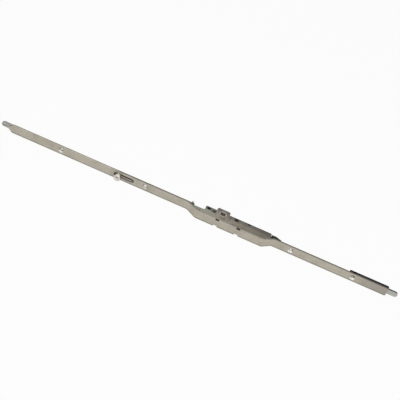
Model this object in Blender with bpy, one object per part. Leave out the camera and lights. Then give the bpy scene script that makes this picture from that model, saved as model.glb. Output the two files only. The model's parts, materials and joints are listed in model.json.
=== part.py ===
"""Window espagnolette gearbox.

A long steel faceplate is cranked outwards over a die-cast gear case. The spindle turns a toothed hub,
the hub drives a rack slider, and the slider pulls two flat drive rods that run behind the faceplate.
An eccentric mushroom cam stands on the left rod and looks out through a slot of the faceplate.

Frame: the origin is the centre of the cranked faceplate's outer face, in line with the spindle.
X runs along the bar, Y points into the window sash, Z is the spindle's axis. Lengths are in metres.
"""
import math

import bmesh
import bpy
import numpy as np
from mathutils import Matrix, Vector

MM = 0.001
FIT = 0.3 * MM                      # gap where two pieces seat or slide
THROUGH = 2.0 * MM                  # how far a cutter runs past the face it opens

# Faceplate strip
PLATE_WIDTH = 14.0 * MM
PLATE_THICKNESS = 2.5 * MM
PLATE_LEFT = -333.0 * MM
PLATE_RIGHT = 260.4 * MM
PLATE_EDGE = 0.4 * MM               # broken front edges
CRANK = 10.7 * MM                   # how far the middle stands out from the straight runs
CRANK_LEFT_OUTER = -51.1 * MM       # where the left slope leaves the straight run
CRANK_LEFT_INNER = -35.4 * MM       # where it meets the cranked run
CRANK_RIGHT_INNER = 67.8 * MM
CRANK_RIGHT_OUTER = 80.9 * MM
BEND_LEFT = 9.0 * MM                # radii of the strip's middle line
BEND_RIGHT = 4.5 * MM
NOSE_CUT_LENGTH = 6.4 * MM          # corners cut from the left end
NOSE_CUT_HEIGHT = 5.3 * MM
TAIL_CORNER = 1.2 * MM

# Wood screws through the faceplate
SCREW_PLACES = (-250.1 * MM, -118.8 * MM, 109.6 * MM, 206.6 * MM)
SCREW_HOLE = 4.3 * MM               # diameter
SCREW_HEAD = 7.8 * MM               # diameter of the countersink at the face

# Gear train: a quarter turn of the hub moves the rods by a quarter of the pitch circle
TOOTH_PITCH = 4.0 * MM
HUB_TEETH = 18                      # teeth that a whole hub would have
HUB_TEETH_CUT = 6                   # teeth that are really there
PRESSURE_ANGLE = math.radians(20.0)
ADDENDUM = 1.1 * MM
DEDENDUM = 1.35 * MM
FLANK_GAP = 0.12 * MM               # play at each flank
RACK_BACK = 1.6 * MM                # slider's web in front of the teeth
HUB_BACK_RADIUS = 9.0 * MM          # hub where it has no teeth
HUB_SHOULDER = 0.6                  # pitches from an outermost tooth to the plain back
CHAMBER_RISE = math.radians(15.0)   # how far round the gear its chamber reaches past the spindle
JOURNAL_RADIUS = 6.5 * MM
SPINDLE_SQUARE = 7.15 * MM

# Drive rods
ROD_THICKNESS = 3.0 * MM
TONGUE_STEP = 0.4 * MM              # left tongue narrower than its rod, on each side
LEFT_TONGUE_OUT = 11.9 * MM         # how far the tongues stand out of the faceplate at rest
RIGHT_TONGUE_OUT = 16.1 * MM
TONGUE_HOLE = 3.4 * MM
SCREW_SLOT = 5.0 * MM               # widths of the rods' slots
STUD_PLACES = (-308.0 * MM, -215.0 * MM, -54.5 * MM, 140.0 * MM)
STUD_SHANK = 3.8 * MM
STUD_SINK = 0.6 * MM                # countersunk front end
STUD_HEAD = 5.6 * MM
STUD_HEAD_THICKNESS = 0.9 * MM
STUD_HEAD_EDGE = 0.4 * MM

# Cam on the left rod
CAM_PLACE = -160.6 * MM
CAM_NECK = 6.0 * MM
CAM_SHANK = 4.4 * MM
CAM_HEAD = 10.6 * MM
CAM_HEAD_THICKNESS = 3.4 * MM
CAM_HEIGHT = 6.8 * MM               # from the faceplate to the cam's end
CAM_ECCENTRICITY = 0.8 * MM
CAM_RIM = 0.5 * MM                  # broken edge of the cam's head
CAM_SOCKET = 4.0 * MM               # across flats
CAM_SOCKET_DEPTH = 2.6 * MM
CAM_SLOT_LEFT = 4.0 * MM            # slot beyond the cam's neck at the ends of its travel
CAM_SLOT_RIGHT = 3.0 * MM
CAM_RIVET_LIP = 1.0 * MM            # rivet head beyond the cam's shank
CAM_RIVET_THICKNESS = 0.9 * MM
WASHER_THICKNESS = 0.5 * MM
WASHER_WIDTH = 1.4 * MM             # from its bore to its rim

# Gear case
CASE_HALF = 6.0 * MM                # half of the case's width along Z
CASE_WALL = 1.5 * MM                # floor and cover
CASE_RIGHT = 76.2 * MM
CASE_DEPTH = 18.9 * MM              # front edge to back edge
CASE_CHAMFER = 0.5 * MM
BACK_CORNER = 1.2 * MM
HUB_BLOCK_HALF = 10.0 * MM
HUB_BLOCK_WALL = 1.2 * MM
HUB_BLOCK_CORNER = 1.8 * MM
PAD_RISE = 0.7 * MM                 # hub pad above the cover
PAD_FRONT = 9.0 * MM                # hub pad's front edge ahead of the spindle
HANDLE_SCREW_SPACING = 43.0 * MM
BUSH_RADIUS = 3.0 * MM
BUSH_BORE = 5.0 * MM
BUSH_WALL = 2.1 * MM
RIVET_RADIUS = 1.0 * MM
RIVET_EDGE = 0.25 * MM              # bevel at a rivet's ends
RIVET_INSET = 2.0 * MM              # rivets' centres from the case's back edge
RIVET_PAST_BUSH = 8.0 * MM
LOCATING_HOLE = 3.2 * MM
LOCATING_INSET = 2.4 * MM
LOCATING_PAST_BUSH = 19.5 * MM
RIGHT_RIVETS = ((12.2 * MM, 13.0 * MM), (6.2 * MM, 2.2 * MM))   # from the right end and the back edge
WINDOW_WALL = 2.0 * MM              # cover between the bush and the window
WINDOW_HEIGHT = 5.6 * MM
LUG_PLACES = (-4.5 * MM, 28.1 * MM)
LUG_LENGTH = 4.9 * MM
LUG_THICKNESS = 1.0 * MM
LUG_DROP = 0.4 * MM                 # lug below the cover's face
LUG_REACH = 1.2 * MM
LUG_ROOT = 0.8 * MM                 # overlap of a lug with its half shell

# Plastic guides behind the faceplate
EXIT_GUIDE_LENGTH = 15.6 * MM
EXIT_GUIDE_HEIGHT = 5.4 * MM
EXIT_FLANGE = 2.4 * MM              # collar of the wedge at the case
EXIT_GROOVE = 1.2 * MM              # groove behind the collar, as wide as deep
END_GUIDE_AHEAD = 7.0 * MM          # guide's left end ahead of the last screw
END_GUIDE_HEIGHT = 4.5 * MM
END_GUIDE_HEAD = 5.6 * MM           # clip at the left end, beside the gap for the screw
END_GUIDE_GAP = 5.4 * MM
GUIDE_LEAD = 1.5 * MM
GUIDE_CORNER = 0.8 * MM

# Facets
ROUND_STEPS = 28
SMALL_STEPS = 16
BEND_STEPS = 6

# Sizes that follow from the ones above
PLATE_HALF = PLATE_WIDTH / 2
PITCH_RADIUS = HUB_TEETH * TOOTH_PITCH / math.tau
TRAVEL = HUB_TEETH * TOOTH_PITCH / 4
TIP_RADIUS = PITCH_RADIUS + ADDENDUM
ROOT_RADIUS = PITCH_RADIUS - DEDENDUM
CASE_FRONT = PLATE_THICKNESS + FIT
CASE_BACK = CASE_FRONT + CASE_DEPTH
RACK_ROOT = CASE_FRONT + RACK_BACK
SPINDLE_Y = RACK_ROOT + DEDENDUM + PITCH_RADIUS
RACK_TIP = SPINDLE_Y - PITCH_RADIUS + ADDENDUM
CAVITY_HALF = CASE_HALF - CASE_WALL
PARTING = CAVITY_HALF - FIT         # top of the base's walls, just under the cover
GEAR_HALF = CAVITY_HALF - FIT
CHAMBER_RADIUS = TIP_RADIUS + FIT
HUB_BLOCK_BACK = SPINDLE_Y + HUB_BACK_RADIUS + FIT + HUB_BLOCK_WALL
PAD_TOP = CASE_HALF + PAD_RISE
PLATE_BACK = CRANK + PLATE_THICKNESS
ROD_FRONT = PLATE_BACK + FIT
ROD_BACK = ROD_FRONT + ROD_THICKNESS
ROD_HALF = GEAR_HALF                # the rods are as wide as the slider that carries them
LUG_TOP = CASE_HALF - LUG_DROP
BUSH_X = HANDLE_SCREW_SPACING / 2
BUSH_EDGE = BUSH_X + BUSH_RADIUS + FIT
CASE_LEFT = -(BUSH_EDGE + BUSH_WALL)

# Slider and rod ends: the left rod stops short of the bush at the end of its travel
ARM_END_WALL = 1.6 * MM
ARM_LUG = 2.7 * MM                  # slider's lugs along X
ARM_LUG_HALF = 2.5 * MM
LUG_HOLE_GAP = 0.35 * MM
LEFT_LUG_OUT = 5.6 * MM             # lugs behind the rods
RIGHT_LUG_OUT = 0.9 * MM
LEFT_ROD_END = -BUSH_EDGE - 2 * FIT - TRAVEL
RIGHT_ROD_END = BUSH_EDGE + 4 * FIT
LEFT_LUG_RIGHT = LEFT_ROD_END - ARM_END_WALL - LUG_HOLE_GAP
RIGHT_LUG_LEFT = RIGHT_ROD_END + ARM_END_WALL + 2 * LUG_HOLE_GAP
RIGHT_ARM_END = RIGHT_LUG_LEFT + ARM_LUG + ARM_END_WALL
ARM_TOP = ROD_FRONT - FIT
SLOPE_GAP = 0.9 * MM                # slider and case clear of the faceplate's slopes
CHANNEL_RIGHT = RIGHT_ARM_END + TRAVEL + 3 * FIT


def new_material(name, colour, roughness, metallic):
    """A plain finish: colour, roughness and metallic value."""
    material = bpy.data.materials.new(name)
    material.use_nodes = True
    shader = material.node_tree.nodes["Principled BSDF"]
    shader.inputs["Base Color"].default_value = (*colour, 1.0)
    shader.inputs["Roughness"].default_value = roughness
    shader.inputs["Metallic"].default_value = metallic
    material.diffuse_color = (*colour, 1.0)
    return material


def add_object(name, mesh_data, material, place=None, smooth=False):
    """Link a bmesh to the scene as a named object. Round pieces are smooth but for their sharp edges."""
    mesh = bpy.data.meshes.new(name)
    bmesh.ops.recalc_face_normals(mesh_data, faces=mesh_data.faces)
    mesh_data.to_mesh(mesh)
    mesh_data.free()
    if smooth:
        mesh.shade_smooth()
        mesh.set_sharp_from_angle(angle=math.radians(30))
    mesh.materials.append(material)
    thing = bpy.data.objects.new(name, mesh)
    if place is not None:
        thing.matrix_world = place
    bpy.context.scene.collection.objects.link(thing)
    return thing


def combine(target, tools, operation):
    """Join or cut the target with each tool by a Boolean modifier, and hide the tools."""
    for tool in tools:
        tool.hide_render = True
        tool.display_type = "WIRE"
        modifier = target.modifiers.new(tool.name, "BOOLEAN")
        modifier.operation = operation
        modifier.solver = "EXACT"
        modifier.object = tool


def cut(target, *tools):
    combine(target, tools, "DIFFERENCE")


def join(target, *tools):
    combine(target, tools, "UNION")


def axis_point(axis, a, b, along):
    """Point with the outline's coordinates (a, b) and its place along the extrusion axis."""
    return {"X": (along, a, b), "Y": (a, along, b), "Z": (a, b, along)}[axis]


def fill_prism(bm, outline, low, high, axis="Z", chamfer_low=0.0, chamfer_high=0.0):
    """Add an extruded outline to bm. A chamfer insets the outline at that end."""
    levels = [(low, chamfer_low)]
    if chamfer_low:
        levels.append((low + chamfer_low, 0.0))
    if chamfer_high:
        levels.append((high - chamfer_high, 0.0))
    levels.append((high, chamfer_high))
    rings = []
    for along, inset in levels:
        points = inset_outline(outline, inset) if inset else outline
        rings.append([bm.verts.new(axis_point(axis, a, b, along)) for a, b in points])
    for ring, following in zip(rings, rings[1:]):
        for i in range(len(ring)):
            j = (i + 1) % len(ring)
            bm.faces.new((ring[i], ring[j], following[j], following[i]))
    bm.faces.new(list(reversed(rings[0])))
    bm.faces.new(rings[-1])


def prism(name, outline, low, high, material, axis="Z", chamfer_low=0.0, chamfer_high=0.0):
    bm = bmesh.new()
    fill_prism(bm, outline, low, high, axis, chamfer_low, chamfer_high)
    return add_object(name, bm, material)


def prisms(name, outlines, low, high, material, axis="Z"):
    """Several separate prisms in one object, used as one cutter."""
    bm = bmesh.new()
    for outline in outlines:
        fill_prism(bm, outline, low, high, axis)
    return add_object(name, bm, material)


def inset_outline(outline, distance):
    """Outline moved inwards by the distance, with mitred corners. Counter-clockwise runs only."""
    points = [Vector(p) for p in outline]
    area = sum(a.x * b.y - b.x * a.y for a, b in zip(points, points[1:] + points[:1]))
    turn = 1.0 if area > 0 else -1.0
    moved = []
    for i, point in enumerate(points):
        before = (point - points[i - 1]).normalized()
        after = (points[(i + 1) % len(points)] - point).normalized()
        normal_before = Vector((-before.y, before.x)) * turn
        normal_after = Vector((-after.y, after.x)) * turn
        mitre = (normal_before + normal_after) / (1.0 + normal_before.dot(normal_after))
        moved.append(point + mitre * distance)
    return [tuple(p) for p in moved]


def arc(centre, radius, start, end, steps):
    """Points of an arc from start to end, in degrees."""
    angles = np.radians(np.linspace(start, end, steps + 1))
    return [(centre[0] + radius * math.cos(t), centre[1] + radius * math.sin(t)) for t in angles]


def circle(centre, radius, steps=SMALL_STEPS):
    return arc(centre, radius, 0, 360, steps)[:-1]


def box_outline(left, right, low, high):
    return [(left, low), (right, low), (right, high), (left, high)]


def slot_outline(left, right, middle, width, steps=SMALL_STEPS // 2):
    """Slot with round ends between left and right, which are its outermost points."""
    radius = width / 2
    return (arc((right - radius, middle), radius, -90, 90, steps)
            + arc((left + radius, middle), radius, 90, 270, steps))


def turned(name, profile, place, material, steps=SMALL_STEPS):
    """Solid of revolution about the place's Z axis. The profile is (radius, height) from one end up."""
    bm = bmesh.new()
    rings = []
    for radius, height in profile:
        rings.append([bm.verts.new((x, y, height)) for x, y in circle((0.0, 0.0), radius, steps)])
    for ring, following in zip(rings, rings[1:]):
        for i in range(steps):
            j = (i + 1) % steps
            bm.faces.new((ring[i], ring[j], following[j], following[i]))
    bm.faces.new(list(reversed(rings[0])))
    bm.faces.new(rings[-1])
    return add_object(name, bm, material, place, smooth=True)


def sleeve(name, profile, place, material, steps=SMALL_STEPS):
    """Ring turned from a closed profile of (radius, height) points."""
    bm = bmesh.new()
    rings = []
    for radius, height in profile:
        rings.append([bm.verts.new((x, y, height)) for x, y in circle((0.0, 0.0), radius, steps)])
    for k, ring in enumerate(rings):
        following = rings[(k + 1) % len(rings)]
        for i in range(steps):
            j = (i + 1) % steps
            bm.faces.new((ring[i], ring[j], following[j], following[i]))
    return add_object(name, bm, material, place, smooth=True)


def along_y(x, y=0.0, z=0.0):
    """Place whose Z axis points along the world's Y axis, into the sash."""
    return Matrix.Translation((x, y, z)) @ Matrix.Rotation(-math.pi / 2, 4, "X")


def bent_line(corners, radii, steps):
    """Polyline whose inner corners are rounded by tangent arcs of the given radii."""
    points = [Vector(corners[0])]
    for before, corner, after, radius in zip(corners, corners[1:], corners[2:], radii):
        corner = Vector(corner)
        back = (Vector(before) - corner).normalized()
        ahead = (Vector(after) - corner).normalized()
        half_angle = back.angle(ahead) / 2
        reach = radius / math.tan(half_angle)
        centre = corner + (back + ahead).normalized() * (radius / math.sin(half_angle))
        first = corner + back * reach - centre
        last = corner + ahead * reach - centre
        sweep = first.angle_signed(last)
        for k in range(steps + 1):
            points.append(centre + Matrix.Rotation(-sweep * k / steps, 2) @ first)
    points.append(Vector(corners[-1]))
    return points


def plate_line():
    """Middle line of the faceplate strip, seen along the spindle, with its four bends."""
    half = PLATE_THICKNESS / 2
    straight = CRANK + half
    corners = [(PLATE_LEFT, straight), (CRANK_LEFT_OUTER, straight), (CRANK_LEFT_INNER, half),
               (CRANK_RIGHT_INNER, half), (CRANK_RIGHT_OUTER, straight), (PLATE_RIGHT, straight)]
    return bent_line(corners, (BEND_LEFT, BEND_LEFT, BEND_RIGHT, BEND_RIGHT), BEND_STEPS)


def make_faceplate(steel):
    """Cranked strip: its section is carried along the bent middle line, then it is punched."""
    half = PLATE_THICKNESS / 2
    section = [(-half, -PLATE_HALF + PLATE_EDGE), (-half + PLATE_EDGE, -PLATE_HALF), (half, -PLATE_HALF),
               (half, PLATE_HALF), (-half + PLATE_EDGE, PLATE_HALF), (-half, PLATE_HALF - PLATE_EDGE)]
    line = plate_line()
    bm = bmesh.new()
    rings = []
    for i, point in enumerate(line):
        before = (point - line[max(i - 1, 0)])
        after = (line[min(i + 1, len(line) - 1)] - point)
        first = before.normalized() if before.length else after.normalized()
        second = after.normalized() if after.length else before.normalized()
        normal = Vector((-first.y - second.y, first.x + second.x)) / (1.0 + first.dot(second))
        rings.append([bm.verts.new((*(point + normal * depth), z)) for depth, z in section])
    for ring, following in zip(rings, rings[1:]):
        for i in range(len(ring)):
            j = (i + 1) % len(ring)
            bm.faces.new((ring[i], ring[j], following[j], following[i]))
    bm.faces.new(list(reversed(rings[0])))
    bm.faces.new(rings[-1])
    plate = add_object("faceplate", bm, steel)

    for k, x in enumerate(SCREW_PLACES):
        sink = (SCREW_HEAD - SCREW_HOLE) / 2
        profile = [(SCREW_HEAD / 2 + THROUGH, -THROUGH), (SCREW_HOLE / 2, sink),
                   (SCREW_HOLE / 2, PLATE_THICKNESS + THROUGH)]
        cut(plate, turned(f"cut_screw_{k}", profile, along_y(x, CRANK), steel, ROUND_STEPS))
    for k, x in enumerate(STUD_PLACES):
        profile = [(radius + FIT, depth) for radius, depth in stud_shank_profile()]
        profile[0] = (profile[0][0] + THROUGH, -THROUGH)
        cut(plate, turned(f"cut_stud_{k}", profile, along_y(x, CRANK), steel))

    slot_half = CAM_NECK / 2 + FIT
    slot_left = CAM_PLACE - slot_half - CAM_SLOT_LEFT
    slot_right = CAM_PLACE + TRAVEL + slot_half + CAM_SLOT_RIGHT
    slot = slot_outline(slot_left, slot_right, 0.0, 2 * slot_half)
    cut(plate, prism("cut_cam_slot", slot, CRANK - THROUGH, PLATE_BACK + THROUGH, steel, "Y"))

    outer = PLATE_HALF + THROUGH
    corners = []
    for side in (-1.0, 1.0):
        nose = [(PLATE_LEFT - THROUGH, side * outer), (PLATE_LEFT + NOSE_CUT_LENGTH + THROUGH, side * outer),
                (PLATE_LEFT + NOSE_CUT_LENGTH, side * PLATE_HALF),
                (PLATE_LEFT, side * (PLATE_HALF - NOSE_CUT_HEIGHT)),
                (PLATE_LEFT - THROUGH, side * (PLATE_HALF - NOSE_CUT_HEIGHT))]
        tail = [(PLATE_RIGHT - TAIL_CORNER, side * PLATE_HALF), (PLATE_RIGHT - TAIL_CORNER, side * outer),
                (PLATE_RIGHT + THROUGH, side * outer),
                (PLATE_RIGHT + THROUGH, side * (PLATE_HALF - TAIL_CORNER)),
                (PLATE_RIGHT, side * (PLATE_HALF - TAIL_CORNER))]
        corners += [nose, tail]
    cut(plate, prisms("cut_corners", corners, CRANK - THROUGH, PLATE_BACK + THROUGH, steel, "Y"))

    floor = LUG_TOP - LUG_THICKNESS - FIT
    notch_half = LUG_LENGTH / 2 + FIT
    notches = [[(x - notch_half, side * floor), (x + notch_half, side * floor),
                (x + notch_half, side * outer), (x - notch_half, side * outer)]
               for x in LUG_PLACES for side in (-1.0, 1.0)]
    cut(plate, prisms("cut_notches", notches, -THROUGH, CASE_FRONT - FIT / 2, steel, "Y"))
    return plate


def stud_shank_profile():
    """Countersunk front end and shank of a stud, as (radius, depth from the faceplate's front)."""
    shank = STUD_SHANK / 2
    return [(shank + STUD_SINK, 0.0), (shank, STUD_SINK), (shank, PLATE_THICKNESS + THROUGH)]


def make_stud(number, x, steel):
    """Guide stud: flush in the faceplate in front, with a head behind the rod."""
    seat = PLATE_THICKNESS + FIT + ROD_THICKNESS + FIT
    head = STUD_HEAD / 2
    profile = stud_shank_profile()[:-1] + [
        (STUD_SHANK / 2, seat), (head, seat), (head, seat + STUD_HEAD_THICKNESS - STUD_HEAD_EDGE),
        (head - STUD_HEAD_EDGE, seat + STUD_HEAD_THICKNESS)]
    return turned(f"rod_stud_{number}", profile, along_y(x, CRANK), steel)


def rod_slots(left, right):
    """Slots that let a rod slide past the screws and studs that lie between left and right."""
    slots = []
    for x in SCREW_PLACES:
        if left < x < right:
            half = SCREW_SLOT / 2 + FIT
            slots.append(slot_outline(x - TRAVEL - half, x + half, 0.0, SCREW_SLOT))
    for x in STUD_PLACES:
        if left < x < right:
            half = STUD_SHANK / 2 + FIT
            slots.append(slot_outline(x - TRAVEL - half, x + half, 0.0, 2 * half))
    return slots


def make_left_rod(steel):
    """Left rod: narrow tongue with a hole near its tip, wide at the cam and at the slider's lug."""
    tip = PLATE_LEFT - LEFT_TONGUE_OUT
    tongue = ROD_HALF - TONGUE_STEP
    shoulder = CAM_PLACE - 2 * CAM_HEAD
    outline = ([(shoulder, -tongue), (shoulder + ROD_HALF - tongue, -ROD_HALF), (LEFT_ROD_END, -ROD_HALF),
                (LEFT_ROD_END, ROD_HALF), (shoulder + ROD_HALF - tongue, ROD_HALF), (shoulder, tongue)]
               + arc((tip + tongue, 0.0), tongue, 90, 270, SMALL_STEPS // 2))
    rod = prism("rod_left", outline, ROD_FRONT, ROD_BACK, steel, "Y")
    openings = rod_slots(tip, LEFT_ROD_END)
    openings.append(circle((CAM_PLACE, 0.0), CAM_SHANK / 2 + FIT))
    openings.append(circle((tip + tongue, 0.0), TONGUE_HOLE / 2))
    openings.append(lug_hole(LEFT_LUG_RIGHT - ARM_LUG))
    cut(rod, prisms("cut_rod_left", openings, ROD_FRONT - THROUGH, ROD_BACK + THROUGH, steel, "Y"))
    return rod


def make_right_rod(steel):
    """Right rod: from the slider's lug, through the case's channel, to the tongue at the right end."""
    tip = PLATE_RIGHT + RIGHT_TONGUE_OUT
    outline = ([(RIGHT_ROD_END, ROD_HALF), (RIGHT_ROD_END, -ROD_HALF)]
               + arc((tip - ROD_HALF, 0.0), ROD_HALF, -90, 90, SMALL_STEPS // 2))
    rod = prism("rod_right", outline, ROD_FRONT, ROD_BACK, steel, "Y")
    openings = rod_slots(RIGHT_ROD_END, tip) + [lug_hole(RIGHT_LUG_LEFT)]
    cut(rod, prisms("cut_rod_right", openings, ROD_FRONT - THROUGH, ROD_BACK + THROUGH, steel, "Y"))
    return rod


def lug_hole(left):
    """Opening of a rod for the slider's lug whose left side is given."""
    half = ARM_LUG_HALF + LUG_HOLE_GAP
    return box_outline(left - LUG_HOLE_GAP, left + ARM_LUG + LUG_HOLE_GAP, -half, half)


def line_behind_slope(inner, outer):
    """Point and grade of the line that lies SLOPE_GAP behind a slope of the faceplate."""
    rise = math.atan2(CRANK, abs(outer - inner))
    side = math.copysign(1.0, outer - inner)
    corner = Vector((inner - side * PLATE_THICKNESS * math.tan(rise / 2), PLATE_THICKNESS))
    normal = Vector((-side * math.sin(rise), math.cos(rise)))
    return corner + normal * SLOPE_GAP, side * math.tan(rise)


def make_slider(steel):
    """Rack slider: teeth in the middle, an arm and a lug for a rod at each end."""
    foot, grade = line_behind_slope(CRANK_LEFT_INNER, CRANK_LEFT_OUTER)
    front = CASE_FRONT + FIT / 3
    front_left = foot.x + (front + FIT - foot.y) / grade
    back_left = foot.x + (ARM_TOP - foot.y) / grade
    teeth_left = -(HUB_TEETH_CUT - 1) * TOOTH_PITCH
    half_tip = TOOTH_PITCH / 4 + ADDENDUM * math.tan(PRESSURE_ANGLE)
    half_root = TOOTH_PITCH / 4 - DEDENDUM * math.tan(PRESSURE_ANGLE)
    step_x = -(CHAMBER_RADIUS + TRAVEL)
    outline = [(front_left, front), (RIGHT_ARM_END, front),
               (RIGHT_ARM_END, ARM_TOP), (RIGHT_ROD_END, ARM_TOP),
               (RIGHT_ROD_END, RACK_TIP + 2 * RACK_BACK), (RIGHT_ROD_END - 2 * RACK_BACK, RACK_TIP)]
    for tooth in range(HUB_TEETH_CUT):
        x = -tooth * TOOTH_PITCH
        outline += [(x + half_tip, RACK_TIP), (x + half_root, RACK_ROOT),
                    (x - half_root, RACK_ROOT), (x - half_tip, RACK_TIP)]
    outline += [(teeth_left - TOOTH_PITCH, RACK_TIP), (step_x + RACK_BACK, RACK_TIP + RACK_BACK),
                (step_x, ARM_TOP - RACK_BACK), (step_x - RACK_BACK, ARM_TOP), (back_left, ARM_TOP)]
    slider = prism("rack_slider", outline, -GEAR_HALF, GEAR_HALF, steel)
    tip = ARM_LUG / 2
    for name, left, out in (("left", LEFT_LUG_RIGHT - ARM_LUG, LEFT_LUG_OUT),
                            ("right", RIGHT_LUG_LEFT, RIGHT_LUG_OUT)):
        lug = ([(left, ARM_TOP - RACK_BACK), (left + ARM_LUG, ARM_TOP - RACK_BACK)]
               + arc((left + tip, ROD_BACK + out - tip), tip, 0, 180, SMALL_STEPS // 2))
        join(slider, prism(f"add_lug_{name}", lug, -ARM_LUG_HALF, ARM_LUG_HALF, steel))
    return slider


def involute_half_angle(radius):
    """Half of a tooth's angle at a radius, from the involute of the base circle."""
    base = PITCH_RADIUS * math.cos(PRESSURE_ANGLE)
    half_pitch = (TOOTH_PITCH / 4 - FLANK_GAP) / PITCH_RADIUS
    slope = math.acos(min(base / max(radius, base), 1.0))
    involute = math.tan(slope) - slope
    involute_at_pitch = math.tan(PRESSURE_ANGLE) - PRESSURE_ANGLE
    return half_pitch + involute_at_pitch - involute


def hub_outline():
    """Toothed sector and plain back of the hub, about the spindle, counter-clockwise."""
    base = PITCH_RADIUS * math.cos(PRESSURE_ANGLE)
    radii = [ROOT_RADIUS, *np.linspace(base, TIP_RADIUS, 5)]
    pitch_angle = math.tau / HUB_TEETH
    outline = []
    for tooth in reversed(range(HUB_TEETH_CUT)):
        middle = -math.pi / 2 - tooth * pitch_angle
        flank = [(radius, involute_half_angle(radius)) for radius in radii]
        outline += [(radius * math.cos(middle - half), radius * math.sin(middle - half))
                    for radius, half in flank]
        outline += [(radius * math.cos(middle + half), radius * math.sin(middle + half))
                    for radius, half in reversed(flank)]
    first = math.degrees(-math.pi / 2 + HUB_SHOULDER * pitch_angle)
    last = math.degrees(1.5 * math.pi - (HUB_TEETH_CUT - 1 + HUB_SHOULDER) * pitch_angle)
    outline += arc((0.0, 0.0), HUB_BACK_RADIUS, first, last, ROUND_STEPS)
    return [(x, y + SPINDLE_Y) for x, y in outline]


def make_hub(steel):
    """Hub gear: toothed sector, a journal on each side and the square spindle socket."""
    hub = prism("hub_gear", hub_outline(), -GEAR_HALF, GEAR_HALF, steel)
    journal_end = PAD_TOP - FIT
    journal = prism("add_journals", circle((0.0, SPINDLE_Y), JOURNAL_RADIUS, ROUND_STEPS),
                    -journal_end, journal_end, steel, chamfer_low=FIT, chamfer_high=FIT)
    join(hub, journal)
    half = SPINDLE_SQUARE / 2
    socket = prism("cut_spindle", box_outline(-half, half, SPINDLE_Y - half, SPINDLE_Y + half),
                   -journal_end - THROUGH, journal_end + THROUGH, steel)
    cut(hub, socket)
    return hub


def case_outline():
    """Outline shared by both half shells, with the hub block at the back."""
    foot, grade = line_behind_slope(CRANK_RIGHT_INNER, CRANK_RIGHT_OUTER)
    front_right = foot.x + (CASE_FRONT - foot.y) / grade
    right_front = foot.y + (CASE_RIGHT - foot.x) * grade
    return [(CASE_LEFT, CASE_FRONT), (front_right, CASE_FRONT), (CASE_RIGHT, right_front),
            (CASE_RIGHT, CASE_BACK - BACK_CORNER), (CASE_RIGHT - BACK_CORNER, CASE_BACK),
            (HUB_BLOCK_HALF, CASE_BACK), (HUB_BLOCK_HALF, HUB_BLOCK_BACK - HUB_BLOCK_CORNER),
            (HUB_BLOCK_HALF - HUB_BLOCK_CORNER, HUB_BLOCK_BACK),
            (HUB_BLOCK_CORNER - HUB_BLOCK_HALF, HUB_BLOCK_BACK),
            (-HUB_BLOCK_HALF, HUB_BLOCK_BACK - HUB_BLOCK_CORNER), (-HUB_BLOCK_HALF, CASE_BACK),
            (CASE_LEFT + BACK_CORNER, CASE_BACK), (CASE_LEFT, CASE_BACK - BACK_CORNER)]


def pad_outline():
    """Raised pad round the spindle, on the hub block."""
    front = SPINDLE_Y - PAD_FRONT
    return [(HUB_BLOCK_CORNER - HUB_BLOCK_HALF, front), (HUB_BLOCK_HALF - HUB_BLOCK_CORNER, front),
            (HUB_BLOCK_HALF - FIT, front + HUB_BLOCK_CORNER),
            (HUB_BLOCK_HALF - FIT, HUB_BLOCK_BACK - HUB_BLOCK_CORNER),
            (HUB_BLOCK_HALF - HUB_BLOCK_CORNER, HUB_BLOCK_BACK - FIT),
            (HUB_BLOCK_CORNER - HUB_BLOCK_HALF, HUB_BLOCK_BACK - FIT),
            (FIT - HUB_BLOCK_HALF, HUB_BLOCK_BACK - HUB_BLOCK_CORNER),
            (FIT - HUB_BLOCK_HALF, front + HUB_BLOCK_CORNER)]


def rivet_places():
    """Where the rivets close the case: beside the gear, at the back and at the solid right end."""
    back = CASE_BACK - RIVET_INSET
    beside_gear = CHAMBER_RADIUS + 2 * RIVET_RADIUS + FIT
    return ([(-beside_gear, back), (BUSH_X + RIVET_PAST_BUSH, back)]
            + [(CASE_RIGHT - inset, CASE_BACK - depth) for inset, depth in RIGHT_RIVETS])


def case_holes(name, low, high, metal):
    """Cutters for the hub, the bushes, the rivets and the locating hole."""
    holes = [circle((0.0, SPINDLE_Y), JOURNAL_RADIUS + FIT, ROUND_STEPS)]
    holes += [circle((side * BUSH_X, SPINDLE_Y), BUSH_RADIUS + FIT) for side in (-1.0, 1.0)]
    holes += [circle(place, RIVET_RADIUS + FIT) for place in rivet_places()]
    holes.append(circle((BUSH_X + LOCATING_PAST_BUSH, CASE_BACK - LOCATING_INSET), LOCATING_HOLE / 2))
    return prisms(name, holes, low, high, metal)


def lug_prisms(name, side, metal):
    """Lugs on a half shell's front edge, which sit in the faceplate's notches."""
    low, high = sorted((side * (LUG_TOP - LUG_THICKNESS), side * LUG_TOP))
    outlines = [box_outline(x - LUG_LENGTH / 2, x + LUG_LENGTH / 2, CASE_FRONT - FIT - LUG_REACH,
                            CASE_FRONT + LUG_ROOT) for x in LUG_PLACES]
    return prisms(name, outlines, low, high, metal)


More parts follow.
